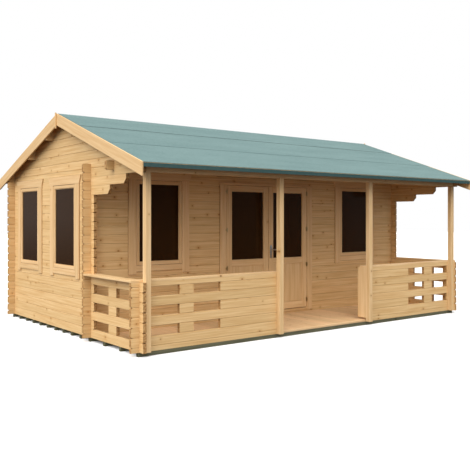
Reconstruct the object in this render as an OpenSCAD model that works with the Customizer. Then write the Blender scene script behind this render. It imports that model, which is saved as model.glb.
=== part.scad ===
// Log cabin with a veranda under its main roof.
// X runs along the long front, -Y is the front, +Z is up. The origin lies on the ground
// under the middle of the ridge. All sizes in millimetres.

/* [Plan] */
// Length between the outer faces of the two gable walls
cabin_l = 5950; // [4900:10:7200]
// Depth of the room, outer face of front wall to outer face of back wall
room_d = 2785; // [2450:5:3400]
// Depth of the veranda, front face of balustrade to outer face of front wall
veranda_d = 1238; // [1100:2:1500]
// How far the ridge stands behind the middle of the plan
ridge_back = 20; // [0:5:60]

/* [Logs] */
// Height of one course of logs
log_h = 114; // [90:1:140]
// Thickness of a log
log_t = 44; // [34:1:58]
// Chamfer along the long edges of a log
groove = 5; // [3:0.5:7]
// Chamfers across the end of a log: height of one, and how deep it reaches along the log
end_cut = 12; // [6:1:16]
end_deep = 24; // [14:1:34]
// Length of the log ends left and right of the gable walls
over_x = 104; // [80:2:130]
// Length of the log ends in front of and behind the long walls
over_y = 88; // [76:2:100]
// How far the lower corbel stands out past the log ends, and the upper one past the lower
corbel_1 = 430; // [340:10:460]
corbel_2 = 410; // [330:10:440]
// Play of a notch around the log it holds, each side
fit = 0.5; // [0.2:0.1:0.8]

/* [Floor] */
// Height and width of a floor bearer
bearer = 50; // [40:1:70]
// Number of bearers under the room
room_bearers = 11; // [8:1:13]
// Number of bearers under the veranda
deck_bearers = 3; // [2:1:5]
// Thickness of the veranda deck
deck_t = 28; // [22:1:34]
// Thickness of the room floor
floor_t = 20; // [16:1:28]

/* [Roof] */
// Height of the roof underside above the tops of the posts, over the face of the balustrade
roof_seat = 167; // [150:1:200]
// Pitch of both slopes in degrees
pitch = 19.2; // [18:0.2:21]
// How far the eaves reach past the face of the balustrade
eaves = 273.5; // [220:0.5:400]
// Overhang of the bargeboards past the gable walls
verge = 128; // [110:2:180]
// Thickness of the roof boards
board_t = 20; // [16:1:28]
// Thickness of a layer of roofing felt
felt_t = 4; // [2:0.5:5]
// Slope length of the felt strip on each side of the ridge
cap_w = 660; // [300:10:900]
// How far the felt hangs down over the eaves, below the roof boards
felt_hang = 30; // [6:1:40]
// Width of a bargeboard
barge_w = 150; // [120:2:200]
// How far the top edges of the bargeboards lie above the felt
barge_up = -6; // [-10:1:12]
// Thickness of a bargeboard
barge_t = 22; // [18:1:28]
// Width and thickness of the strip over the joint of two bargeboards, and how far it hangs below
apex_w = 24; // [18:1:40]
apex_t = 18; // [12:1:24]
apex_down = 47; // [30:1:70]
// Depth of a purlin
purlin_h = 150; // [130:5:220]
// Level distance from the ridge to the inner purlins
purlin_in = 425; // [300:5:480]
// Level distance from the face of the front wall to the middle of the purlin before it
purlin_out = 290; // [150:0.5:330]
// Distance of the tie log in front of the front wall, to its back face
tie_off = 632; // [450:2:700]

/* [Balustrade] */
// Number of courses in the balustrade
rail_n = 7; // [5:2:7]
// Side of a square post
post_t = 70; // [60:1:90]
// Half of the way in between the two middle posts
way_half = 842; // [700:2:1000]
// Length of an opening in the balustrade
slot_l = 400; // [300:10:440]
// Length of a log block between two openings
block_l = 200; // [150:10:240]
// Distance of the outer opening of a front panel from the gable wall's outer face
slot_in = 145; // [120:5:200]
// Thickness and width of the handrail board
cap_t = 25; // [20:1:34]
rail_w = 122; // [110:2:150]
// How far the handrail over a side panel stands out past the gable wall
rail_out = 108; // [90:1:120]
// Width and thickness of the board on the free end of a front panel
end_w = 160; // [120:5:180]
end_t = 28; // [20:1:34]
// Height of that board's foot above the deck
end_lift = 26; // [10:2:40]

/* [Windows] */
// Width of the sash and its height
sash_w = 730; // [600:5:760]
sash_h = 1150; // [1000:5:1160]
// Height of the underside of a gable sash above the bottom log; the front ones, whose logs lie
// half a course higher, are higher by as much
sash_z = 834; // [800:2:860]
// Width of the stiles and rails of a sash
sash_bar = 46; // [40:1:75]
// Width of the casing round a window or door
casing_w = 116; // [100:1:120]
// Thickness of the casing on the face of the wall
casing_t = 16; // [12:1:20]
// How far the casing covers the logs
casing_lap = 58; // [50:1:60]
// Distance of the two front windows from the middle of the front
front_win_x = 1955; // [1900:5:1980]
// Distance of one gable window from the front wall and of the other from the back wall
gable_win_1 = 812; // [780:2:830]
gable_win_2 = 696; // [680:2:760]

/* [Door] */
// Half of the clear width between the jambs
door_half = 812; // [740:2:830]
// Height of the underside of the leaves
leaf_z = 150; // [148:1:160]
// Height of the top of the leaves
leaf_top = 2062; // [1980:2:2070]
// Thickness of a leaf
leaf_t = 44; // [38:1:50]
// Width of the stiles of a leaf, of its upper and middle rail, and of its bottom rail
leaf_bar = 92; // [80:1:110]
leaf_rail = 80; // [70:1:100]
leaf_foot = 105; // [90:1:130]
// Height of the top of the lower panel
panel_top = 870; // [700:5:960]
// Gap round a leaf
leaf_gap = 5; // [5:0.5:6]
// Number of hinges on a leaf
hinge_n = 4; // [3:1:4]
// Height of the lowest hinge's middle above the foot of a leaf, and of the top one's below its top
hinge_up = 120; // [100:2:160]
hinge_down = 92; // [80:2:140]
// Height of a hinge and width of its plates
hinge_h = 64; // [52:2:80]
hinge_w = 18; // [16:1:28]
// Height of the lever handle
lever_z = 1090; // [1060:5:1100]

/* [Hidden] */
L2 = cabin_l / 2;
front_y = -(room_d + veranda_d) / 2 - ridge_back; // front face of the balustrade
wall_y = front_y + veranda_d;                     // outer face of the front wall
back_y = wall_y + room_d;                         // outer face of the back wall
z0 = bearer;                                      // underside of the bottom logs
door_head_z = leaf_top + leaf_gap + 35;           // top of the casing over the door
window_top_z = z0 + sash_z + sash_h + casing_w - casing_lap;
// courses up to the doors' casing, which the posts match
head_n = ceil((max(door_head_z, window_top_z) - z0) / log_h - 0.02);
top_n = head_n + 1.5;                             // courses up to the eaves of the front wall
split_n = head_n - 2;                             // course on which the gable peaks start
slope = tan(pitch);
roof_run = eaves - front_y;                       // level distance from ridge to eaves
beam_z = z0 + head_n * log_h;                     // top of the posts
under_z = beam_z + roof_seat - front_y * slope;   // roof underside at the ridge
ridge_z = under_z + barge_up + (board_t + 2 * felt_t) / cos(pitch); // apex of the bargeboards
big = 9000;
eps = 1;
seat = 0.1; // play under a sheet that lies on another
corner_x = [-L2, L2 - log_t];                     // left edges of the crossings along X
hinge_r = 7;
hinge_y = wall_y - casing_t - hinge_r - 1;        // hinge axis, in front of the casing
leaf_y = wall_y - casing_t + 2;                   // front face of a leaf
leaf_w = door_half - leaf_gap - leaf_gap / 2 - 0.5;
rail_z = z0 + rail_n * log_h;                     // top of the balustrade logs
beam_y = front_y - post_t / 2 - log_t / 2;        // front face of the eaves beam
glass_t = 12;                                     // thickness of a double pane
sash_y = 4 - casing_t;                            // front face of a sash, behind its casing's
panel_in = 12;                                    // depth of the lower panel behind the leaf's faces
plate_t = 3;                                      // thickness of a hinge plate
knuckle = (hinge_h - 4) / 3;                      // height of a knuckle, 2 mm between two of them
sill_top = leaf_z - leaf_gap - 4;                 // top of the door sill
stop = 18;                                        // how far the stop reaches in behind the leaves
stop_h = 12;                                      // height of the stop on the sill
pine = "BurlyWood";

// ---- shapes shared by the sub-parts ----

// Height of course number n
function course(n) = z0 + n * log_h;

// Cross-section of a stack of logs from z = a to b, with a V at each joint.
// shift is the height of the first joint in courses.
module log_section(a, b, shift) {
    js = [for (n = [0 : 30]) let (z = course(n + shift)) if (z > a + groove && z < b - groove) z];
    right = [for (z = js) each [[log_t, z - groove], [log_t - groove, z], [log_t, z + groove]]];
    left = [for (i = [len(js) - 1 : -1 : 0]) let (z = js[i])
        each [[0, z + groove], [groove, z], [0, z - groove]]];
    polygon(concat([[0, a], [log_t, a]], right, [[log_t, b], [0, b]], left));
}

// Logs along X from x0 to x1 with their outer face at y
module logs_x(x0, x1, y, a, b, shift = 0.5) {
    translate([x0, y, 0]) rotate([90, 0, 90])
        linear_extrude(height = x1 - x0) log_section(a, b, shift);
}

// Logs along Y from y0 to y1 with their outer face at x
module logs_y(y0, y1, x, a, b) {
    translate([x, y1, 0]) rotate([90, 0, 0])
        linear_extrude(height = y1 - y0) log_section(a, b, 0);
}

// Chamfers across log ends at the joints, at the point p of a wall
module end_cuts(p, a, b, shift, turn) {
    for (n = [0 : 30]) let (z = course(n + shift))
        if (z >= a - eps && z <= b + eps)
            translate([p[0], p[1], z]) rotate([0, 0, turn]) rotate([90, 0, 0])
                linear_extrude(height = 3 * log_t, center = true)
                    polygon([[-end_deep, 0], [0, -end_cut], [end_deep, 0], [0, end_cut]]);
}

// Notches that the logs along X get for the logs of a gable wall
module notches_x(y, n = 30) {
    for (x = corner_x) for (k = [0 : n])
        translate([x - fit, y - eps, course(k + 0.25)])
            cube([log_t + 2 * fit, log_t + 2 * eps, log_h / 2]);
}

// Notches that the logs along Y get for the logs of a long wall at y
module notches_y(x, y, n0, n1) {
    for (k = [n0 : n1])
        translate([x - eps, y - fit, course(k + 0.75)])
            cube([log_t + 2 * eps, log_t + 2 * fit, log_h / 2]);
}

// Space under the roof boards, over the whole length
module under_roof() {
    translate([-big / 2, 0, 0]) rotate([90, 0, 90]) linear_extrude(height = big)
        polygon([[-big / 2, -1], [big / 2, -1], [big / 2, under_z - big / 2 * slope],
            [0, under_z], [-big / 2, under_z - big / 2 * slope]]);
}

// A sheet that lies t thick on the front slope, lift above the roof underside
module slope_sheet(y_from, y_to, lift, t, x_half) {
    v0 = (lift + seat) / cos(pitch);
    v1 = (lift + t) / cos(pitch);
    translate([-x_half, 0, 0]) rotate([90, 0, 90]) linear_extrude(height = 2 * x_half)
        polygon([[-y_from, under_z - y_from * slope + v0], [-y_to, under_z - y_to * slope + v0],
            [-y_to, under_z - y_to * slope + v1], [-y_from, under_z - y_from * slope + v1]]);
}

// Box of size s with its lowest corner at p
module box(p, s) { translate(p) cube(s); }

// Frame in the XZ plane, centred on x = 0: outer w by h from z, bars of width bar
module ring(w, h, z, bar, y, t) {
    difference() {
        box([-w / 2, y, z], [w, t, h]);
        box([-w / 2 + bar, y - eps, z + bar], [w - 2 * bar, t + 2 * eps, h - 2 * bar]);
    }
}

// ---- one window at the origin, looking along +Y, face of the wall at y = 0 ----

hole_w = sash_w + 2 * (casing_w - casing_lap);
hole_z = z0 + sash_z - (casing_w - casing_lap);
hole_h = sash_h + 2 * (casing_w - casing_lap);

module window_hole() {
    box([-hole_w / 2, -casing_t - 20, hole_z], [hole_w, log_t + 2 * casing_t + 40, hole_h]);
}

module window_frame() {
    ow = sash_w + 2 * casing_w;
    oz = z0 + sash_z - casing_w;
    oh = sash_h + 2 * casing_w;
    difference() {
        union() {
            box([-hole_w / 2 + fit, -casing_t / 2, hole_z + fit],
                [hole_w - 2 * fit, log_t + casing_t, hole_h - 2 * fit]);
            for (y = [-casing_t, log_t]) box([-ow / 2, y, oz], [ow, casing_t, oh]);
        }
        box([-sash_w / 2 - fit, -casing_t - eps, z0 + sash_z - fit],
            [sash_w + 2 * fit, log_t + 2 * casing_t + 2 * eps, sash_h + 2 * fit]);
    }
}

module sash() {
    ring(sash_w, sash_h, z0 + sash_z, sash_bar, sash_y, log_t);
}

module pane() {
    box([-sash_w / 2 + sash_bar + fit, sash_y + log_t / 2 - glass_t / 2, z0 + sash_z + sash_bar + fit],
        [sash_w - 2 * sash_bar - 2 * fit, glass_t, sash_h - 2 * sash_bar - 2 * fit]);
}

module at_front_windows() {
    for (s = [-1, 1]) translate([s * front_win_x, wall_y, log_h / 2]) children();
}

module at_left_windows() {
    for (d = [gable_win_1, room_d - gable_win_2])
        translate([-L2, wall_y + d, 0]) rotate([0, 0, -90]) children();
}

module at_right_windows() { mirror([1, 0, 0]) at_left_windows() children(); }

// ---- sub-parts ----

module floor_bearers() color("DarkSeaGreen") {
    room_step = (room_d - log_t) / (room_bearers - 1);
    deck_step = veranda_d / deck_bearers;
    for (i = [0 : room_bearers - 1])
        box([-L2 - 10, wall_y + i * room_step - 3, 0], [cabin_l + 20, bearer, bearer]);
    for (i = [0 : deck_bearers - 1])
        box([-L2 - 10, front_y + 1 + i * deck_step, 0], [cabin_l + 20, bearer, bearer]);
}

module room_floor() color(pine)
    box([-L2 + log_t + fit, wall_y + log_t + fit, z0],
        [cabin_l - 2 * (log_t + fit), room_d - 2 * (log_t + fit), floor_t]);

module veranda_deck() color(pine) {
    box([-L2 + log_t + fit, front_y + log_t + fit, z0],
        [cabin_l - 2 * (log_t + fit), veranda_d - log_t - 2 * fit, deck_t]);
    box([-way_half + fit, front_y, z0], [2 * (way_half - fit), log_t + 2 * fit, deck_t]);
}

module front_sill_log() color(pine) difference() {
    logs_x(-L2 - over_x, L2 + over_x, wall_y, z0, course(0.5));
    notches_x(wall_y, 0);
    for (s = [-1, 1]) end_cuts([s * (L2 + over_x), wall_y + log_t / 2], z0, course(0.5), 0.5, 0);
}

// Part of the front wall beside the doorway, left of the middle
module front_wall_side() {
    difference() {
        logs_x(-L2 - over_x, -door_half - casing_w + casing_lap, wall_y, course(0.5), course(head_n + 0.5));
        notches_x(wall_y);
        translate([-front_win_x, wall_y, log_h / 2]) window_hole();
        end_cuts([-L2 - over_x, wall_y + log_t / 2], course(0.5), course(head_n + 0.5), 0.5, 0);
    }
}

module front_wall_left() color(pine) front_wall_side();

module front_wall_right() color(pine) mirror([1, 0, 0]) front_wall_side();

// Everything over the doorway and the two side parts, up to the roof
module front_wall_over_door() color(pine) {
    hole = door_half + casing_w - casing_lap;
    inner = L2 - log_t - fit;
    difference() {
        union() {
            logs_x(-L2 - over_x, L2 + over_x, wall_y, course(head_n + 0.5), course(top_n));
            logs_x(-inner, inner, wall_y, course(head_n + 0.5), ridge_z);
            logs_x(-hole + fit, hole - fit, wall_y, door_head_z - 0.01, course(head_n + 0.5) + eps);
        }
        notches_x(wall_y);
        for (s = [-1, 1])
            end_cuts([s * (L2 + over_x), wall_y + log_t / 2], course(head_n + 0.5), course(top_n), 0.5, 0);
        over_roof();
    }
}

// Space above the roof underside
module over_roof() {
    difference() {
        box([-big / 2, -big / 2, 0], [big, big, big]);
        under_roof();
    }
}

module back_wall() color(pine) difference() {
    logs_x(-L2 - over_x, L2 + over_x, back_y - log_t, z0, course(top_n + 1));
    notches_x(back_y - log_t);
    for (s = [-1, 1])
        end_cuts([s * (L2 + over_x), back_y - log_t / 2], z0, course(top_n), 0.5, 0);
    over_roof();
}

// Lower part of the left gable wall, with its two windows
module gable_wall() {
    difference() {
        logs_y(wall_y - over_y, back_y + over_y, -L2, z0, course(split_n));
        for (y = [wall_y, back_y - log_t]) notches_y(-L2, y, -1, split_n);
        at_left_windows() window_hole();
        for (y = [wall_y - over_y, back_y + over_y])
            end_cuts([-L2 + log_t / 2, y], z0 + 5, course(split_n), 0, 90);
    }
}

module left_gable_wall() color(pine) gable_wall();

module right_gable_wall() color(pine) mirror([1, 0, 0]) gable_wall();

// Upper part of the left gable: two corbel courses, then the logs that reach the eaves beam
module gable_peak() {
    step_1 = wall_y - over_y - corbel_1;
    step_2 = step_1 - corbel_2;
    front_end = front_y - over_y;
    back_end = back_y + over_y;
    difference() {
        union() {
            logs_y(step_1, back_end, -L2, course(split_n), course(split_n + 1));
            logs_y(step_2, back_end, -L2, course(split_n + 1), course(head_n));
            logs_y(front_end, back_end, -L2, course(head_n), ridge_z);
        }
        for (c = [[step_1, split_n], [step_2, split_n + 1]])
            translate([-L2 + log_t / 2, c[0], course(c[1])]) rotate([45, 0, 0])
                cube([3 * log_t, 84, 84], center = true);
        notches_y(-L2, wall_y, split_n - 1, head_n);
        notches_y(-L2, back_y - log_t, split_n - 1, head_n + 4);
        notches_y(-L2, wall_y - tie_off, head_n, head_n);
        box([-L2 - eps, beam_y - fit, course(head_n + 0.5)], [log_t + 2 * eps, log_t + 2 * fit, big]);
        at_left_windows() window_hole();
        for (y = purlin_ys) purlin_slot(y);
        end_cuts([-L2 + log_t / 2, back_end], course(split_n), course(head_n + 1), 0, 90);
        end_cuts([-L2 + log_t / 2, front_end], course(head_n), course(head_n + 1), 0, 90);
        over_roof();
    }
}

purlin_ys = [wall_y - purlin_out, -purlin_in, 0, purlin_in, purlin_out - wall_y];

// Underside of the purlin at y
function purlin_z(y) = under_z - abs(y) * slope - purlin_h;

module purlin_slot(y) {
    box([-L2 - eps, y - log_t / 2 - fit, purlin_z(y)], [log_t + 2 * eps, log_t + 2 * fit, big]);
}

module left_gable_peak() color(pine) gable_peak();

module right_gable_peak() color(pine) mirror([1, 0, 0]) gable_peak();

module purlins() color(pine) {
    x_end = L2 + verge - barge_t;
    for (y = purlin_ys) difference() {
        box([-x_end, y - log_t / 2, purlin_z(y)], [2 * x_end, log_t, purlin_h + log_h]);
        over_roof();
    }
}

module tie_log() color(pine) difference() {
    logs_x(-L2 - over_x, L2 + over_x, wall_y - tie_off, course(head_n + 0.5), course(top_n));
    notches_x(wall_y - tie_off);
    for (s = [-1, 1])
        end_cuts([s * (L2 + over_x), wall_y - tie_off + log_t / 2],
            course(head_n + 0.5), course(top_n), 0.5, 0);
}

module eaves_beam() color(pine) difference() {
    box([-L2 - over_x, beam_y, beam_z], [cabin_l + 2 * over_x, log_t, 2 * log_h]);
    for (x = corner_x)
        box([x - fit, beam_y - eps, beam_z - eps], [log_t + 2 * fit, log_t + 2 * eps, log_h / 2 + eps]);
    for (s = [-1, 1]) translate([s * (L2 + over_x), beam_y + log_t / 2, beam_z]) rotate([0, 45, 0])
        cube([55, 3 * log_t, 55], center = true);
    over_roof();
}

post_xs = [L2 - log_t - post_t - fit, way_half]; // inner faces of the two posts on one side

module veranda_posts() color(pine)
    for (s = [0, 1]) mirror([s, 0, 0]) for (x = post_xs)
        box([x, front_y - post_t, z0], [post_t, post_t - 0.3, beam_z - z0]);

// Openings of a panel along its own length u: two slots outside the solid part
module slots_x(y) {
    far = L2 - slot_in;
    for (i = [0, 1]) for (n = [1.5 : 2 : rail_n - 1])
        box([far - slot_l - i * (slot_l + block_l), y - eps, course(n)],
            [slot_l, log_t + 2 * eps, log_h]);
}

module front_panels() color(pine)
    for (s = [0, 1]) mirror([s, 0, 0]) difference() {
        logs_x(way_half + end_t, L2 + over_x, front_y, z0, rail_z);
        notches_x(front_y, rail_n);
        slots_x(front_y);
        end_cuts([L2 + over_x, front_y + log_t / 2], z0 + 5, rail_z - 5, 0.5, 0);
    }

// Panel on the left side: openings of length l, each as far from the wall as slots says
module side_panel(slots, l) {
    y_in = wall_y - over_y - 0.3;
    difference() {
        logs_y(front_y - over_y, y_in, -L2, z0, rail_z);
        notches_y(-L2, front_y, -1, rail_n);
        for (u = slots) for (n = [1 : 2 : rail_n - 2])
            box([-L2 - eps, y_in - u - l + (u == 0 ? eps : 0), course(n)],
                [log_t + 2 * eps, l, log_h]);
        end_cuts([-L2 + log_t / 2, front_y - over_y], z0 + 5, rail_z - 5, 0, 90);
    }
}

module left_side_panel() color(pine) side_panel([0, slot_l + block_l], slot_l);

module right_side_panel() color(pine)
    mirror([1, 0, 0]) side_panel([0, 2 * block_l, 4 * block_l], block_l);

// Handrail over the side panel and the front panel, joined at the corner
module handrail() {
    difference() {
        union() {
            box([-L2 - rail_out, front_y, rail_z], [rail_out + log_t, veranda_d - fit, cap_t]);
            box([-L2 - rail_out, front_y, rail_z], [L2 + rail_out - way_half, rail_w, cap_t]);
        }
        box([-L2 - fit, wall_y - over_y - fit, rail_z - eps], [log_t + 2 * fit, big, cap_t + 2 * eps]);
    }
}

module left_handrail() color(pine) handrail();

module right_handrail() color(pine) mirror([1, 0, 0]) handrail();

module panel_end_boards() color(pine)
    for (s = [0, 1]) mirror([s, 0, 0])
        box([way_half, front_y, z0 + deck_t + end_lift],
            [end_t, end_w, rail_z - z0 - deck_t - end_lift]);

roof_x = L2 + verge - barge_t; // half length of the boards between the bargeboards

module roof_boards_front() color("Tan") slope_sheet(0.3, roof_run, 0, board_t, roof_x);

module roof_boards_back() color("Tan") mirror([0, 1, 0]) roof_boards_front();

// Felt on one slope, turned down over the edge of the boards at the eaves
module felt_slope() {
    slope_sheet(0.3, roof_run + felt_t, board_t, felt_t, roof_x);
    slope_sheet(roof_run + 0.2, roof_run + felt_t, -felt_hang, board_t + felt_hang + 0.1, roof_x);
}

module felt_front() color("CadetBlue") felt_slope();

module felt_back() color("CadetBlue") mirror([0, 1, 0]) felt_slope();

module felt_ridge() color("CadetBlue")
    for (s = [0, 1]) mirror([0, s, 0])
        slope_sheet(0, cap_w * cos(pitch), board_t + felt_t, felt_t, roof_x);

// Two boards that meet on a plumb joint under the apex, and the strip that covers the joint
module bargeboards() {
    drop = barge_w / cos(pitch);
    foot = ridge_z - drop - apex_down;
    box([-roof_x - barge_t - 0.3 - apex_t, -apex_w / 2, foot], [apex_t, apex_w, ridge_z + 12 - foot]);
    translate([-roof_x - barge_t, 0, 0]) rotate([90, 0, 90]) linear_extrude(height = barge_t)
        for (s = [-1, 1]) polygon([[s * 0.3, ridge_z], [s * (roof_run + felt_t), ridge_z - roof_run * slope],
            [s * (roof_run + felt_t), ridge_z - roof_run * slope - drop], [s * 0.3, ridge_z - drop]]);
}

module left_bargeboards() color("Wheat") bargeboards();

module right_bargeboards() color("Wheat") mirror([1, 0, 0]) bargeboards();

module front_window_frames() color(pine) at_front_windows() window_frame();
module left_window_frames() color(pine) at_left_windows() window_frame();
module right_window_frames() color(pine) at_right_windows() window_frame();
module front_sashes() color("Wheat") at_front_windows() sash();
module left_sashes() color("Wheat") at_left_windows() sash();
module right_sashes() color("Wheat") at_right_windows() sash();

module window_glass() color("DarkSlateGray") {
    at_front_windows() pane();
    at_left_windows() pane();
    at_right_windows() pane();
}

module door_frame() color(pine) {
    hole = door_half + casing_w - casing_lap;
    sill_z = course(0.5);
    difference() {
        union() {
            box([-hole + fit, wall_y - casing_t / 2, sill_z],
                [2 * (hole - fit), log_t + casing_t, door_head_z - fit - sill_z]);
            for (y = [wall_y - casing_t, wall_y + log_t])
                box([-door_half - casing_w, y, sill_z],
                    [2 * (door_half + casing_w), casing_t, door_head_z - sill_z]);
        }
        // way through, with a stop behind the leaves
        box([-door_half + stop, wall_y - casing_t - eps, sill_top + stop_h],
            [2 * (door_half - stop), big, leaf_top - stop / 2 - sill_top - stop_h]);
        box([-door_half, wall_y - casing_t - eps, sill_top],
            [2 * door_half, leaf_t + 2 + leaf_gap + eps, leaf_top + leaf_gap - sill_top]);
    }
}

// Left leaf: stiles, three rails and a solid lower panel
module leaf() {
    x0 = -door_half + leaf_gap;
    difference() {
        box([x0, leaf_y, leaf_z], [leaf_w, leaf_t, leaf_top - leaf_z]);
        box([x0 + leaf_bar, leaf_y - eps, panel_top + leaf_rail],
            [leaf_w - 2 * leaf_bar, leaf_t + 2 * eps, leaf_top - panel_top - 2 * leaf_rail]);
        for (y = [leaf_y - eps, leaf_y + leaf_t - panel_in])
            box([x0 + leaf_bar, y, leaf_z + leaf_foot],
                [leaf_w - 2 * leaf_bar, panel_in + eps, panel_top - leaf_z - leaf_foot]);
    }
}

module leaf_pane() {
    box([-door_half + leaf_gap + leaf_bar + fit, leaf_y + leaf_t / 2 - glass_t / 2,
            panel_top + leaf_rail + fit],
        [leaf_w - 2 * leaf_bar - 2 * fit, glass_t, leaf_top - panel_top - 2 * leaf_rail - 2 * fit]);
}

hinge_zs = [for (i = [0 : hinge_n - 1])
    leaf_z + hinge_up + i * (leaf_top - leaf_z - hinge_up - hinge_down) / (hinge_n - 1)];

// Leaf half of the hinges: plate on the face of the leaf and two knuckles round the pin
module leaf_hinges() {
    for (z = hinge_zs) {
        box([-door_half + leaf_gap, leaf_y - plate_t, z - hinge_h / 2], [hinge_w, plate_t, hinge_h]);
        for (k = [-hinge_h / 2, hinge_h / 2 - knuckle]) {
            box([-door_half + leaf_gap + 1, hinge_y, z + k], [5, leaf_y - hinge_y - 1, knuckle]);
            translate([-door_half + leaf_gap / 2, hinge_y, z + k])
                cylinder(r = hinge_r, h = knuckle, $fn = 48);
        }
    }
}

// Frame half: plate on the casing and the middle knuckle
module hinge_plates() color("Silver")
    for (s = [0, 1]) mirror([s, 0, 0]) for (z = hinge_zs) {
        foot = z - knuckle / 2;
        box([-door_half - hinge_w - 2, wall_y - casing_t - plate_t, foot], [hinge_w, plate_t, knuckle]);
        box([-door_half - 8, hinge_y, foot], [9, wall_y - casing_t - hinge_y, knuckle]);
        translate([-door_half + leaf_gap / 2, hinge_y, foot])
            cylinder(r = hinge_r, h = knuckle, $fn = 48);
    }

module door_leaf_left() color("Wheat") leaf();
module door_leaf_right() color("Wheat") mirror([1, 0, 0]) leaf();
module door_glass_left() color("DarkSlateGray") leaf_pane();
module door_glass_right() color("DarkSlateGray") mirror([1, 0, 0]) leaf_pane();
module hinges_left() color("Silver") leaf_hinges();
module hinges_right() color("Silver") mirror([1, 0, 0]) leaf_hinges();

// Lever handles with long plates on both faces of the right leaf
module door_handle() color("Silver") {
    plate = [40, 8, 200];
    lever_r = 9;
    reach = 47;  // middle of the lever in front of the leaf
    x = leaf_gap / 2 + 0.5 + leaf_bar / 2;
    for (f = [[leaf_y, 0], [leaf_y + leaf_t, 1]]) translate([x, f[0], 0])
        mirror([0, f[1], 0]) {
            box([-plate[0] / 2, -plate[1], lever_z - 130], plate);
            translate([0, 1 - plate[1], lever_z]) rotate([90, 0, 0])
                cylinder(r = lever_r, h = reach + 1, $fn = 48);
            translate([0, -reach, lever_z]) rotate([0, 90, 0])
                cylinder(r = lever_r, h = 122, $fn = 48);
        }
}

floor_bearers();
room_floor();
veranda_deck();
front_sill_log();
front_wall_left();
front_wall_right();
front_wall_over_door();
back_wall();
left_gable_wall();
right_gable_wall();
left_gable_peak();
right_gable_peak();
purlins();
tie_log();
eaves_beam();
veranda_posts();
front_panels();
left_side_panel();
right_side_panel();
left_handrail();
right_handrail();
panel_end_boards();
roof_boards_front();
roof_boards_back();
felt_front();
felt_back();
felt_ridge();
left_bargeboards();
right_bargeboards();
front_window_frames();
left_window_frames();
right_window_frames();
front_sashes();
left_sashes();
right_sashes();
window_glass();
door_frame();
hinge_plates();
door_leaf_left();
door_leaf_right();
door_glass_left();
door_glass_right();
hinges_left();
hinges_right();
door_handle();
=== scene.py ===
import math
import random

import bmesh
import bpy
from mathutils import Matrix, Vector


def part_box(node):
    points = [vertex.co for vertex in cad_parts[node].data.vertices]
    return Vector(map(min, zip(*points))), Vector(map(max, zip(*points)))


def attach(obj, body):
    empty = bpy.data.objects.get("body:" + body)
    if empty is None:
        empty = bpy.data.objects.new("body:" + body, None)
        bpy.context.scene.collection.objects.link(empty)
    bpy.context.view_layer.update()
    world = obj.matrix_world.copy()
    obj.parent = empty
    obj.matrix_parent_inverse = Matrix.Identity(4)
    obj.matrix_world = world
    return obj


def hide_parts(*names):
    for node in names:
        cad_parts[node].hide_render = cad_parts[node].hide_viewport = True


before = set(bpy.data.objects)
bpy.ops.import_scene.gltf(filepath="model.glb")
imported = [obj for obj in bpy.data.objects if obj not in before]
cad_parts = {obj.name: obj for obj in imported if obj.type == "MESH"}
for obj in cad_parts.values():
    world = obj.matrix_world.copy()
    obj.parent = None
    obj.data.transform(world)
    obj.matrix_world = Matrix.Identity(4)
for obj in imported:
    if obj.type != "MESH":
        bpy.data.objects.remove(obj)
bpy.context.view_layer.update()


# ---------------------------------------------------------------------------
# Floor bearers
# Sawn softwood battens, pressure treated with a green copper salt, laid on the
# ground under the walls. The salt leaves a dull grey green over the grain.

def linear(code):
    """The linear colour of an sRGB hex value."""
    parts = [int(code[i:i + 2], 16) / 255 for i in (1, 3, 5)]
    return [c / 12.92 if c <= 0.04045 else ((c + 0.055) / 1.055) ** 2.4 for c in parts] + [1.0]


def put(tree, kind, sockets=None, **settings):
    """Adds a node to a material. A socket given as another node's output is linked."""
    made = tree.nodes.new("ShaderNode" + kind)
    for name, value in settings.items():
        setattr(made, name, value)
    for name, value in (sockets or {}).items():
        if isinstance(value, bpy.types.NodeSocket):
            tree.links.new(value, made.inputs[name])
        else:
            made.inputs[name].default_value = value
    return made


def blank(name):
    """An empty material, its node tree and its output node."""
    material = bpy.data.materials.new(name)
    material.use_nodes = True
    tree = material.node_tree
    tree.nodes.clear()
    return material, tree, tree.nodes.new("ShaderNodeOutputMaterial")


def maths(tree, operation, a, b=0.0, c=0.0, clamp=False):
    """The result of one sum on two or three numbers or sockets."""
    return put(tree, "Math", {0: a, 1: b, 2: c}, operation=operation, use_clamp=clamp).outputs[0]


def mixed(tree, share, a, b, blend="MIX"):
    """Two colours mixed by a share from 0 to 1."""
    made = put(tree, "Mix", {0: share, 6: a, 7: b}, data_type="RGBA", blend_type=blend)
    return made.outputs[2]


def ramp(tree, value, start, end, low=0.0, high=1.0):
    """A value spread evenly from low at start to high at end, and held there outside them."""
    return put(tree, "MapRange", {"Value": value, "From Min": start, "From Max": end, "To Min": low,
                                  "To Max": high}).outputs[0]


def stretched(tree, place, scale):
    """A place with its three parts scaled."""
    return put(tree, "Mapping", {"Vector": place, "Scale": scale}).outputs[0]


def noise(tree, place, scale, detail=2.0, kind="Factor"):
    """Cloudy noise at a place, as many waves a metre as scale says. A triple stretches it."""
    if isinstance(scale, tuple):
        place, scale = stretched(tree, place, scale), 1.0
    made = put(tree, "TexNoise", {"Vector": place, "Scale": scale, "Detail": detail})
    return made.outputs[0] if kind == "Factor" else made.outputs["Color"]


def object_place(tree):
    """The place on the object, in metres."""
    return put(tree, "TexCoord").outputs["Object"]


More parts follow.
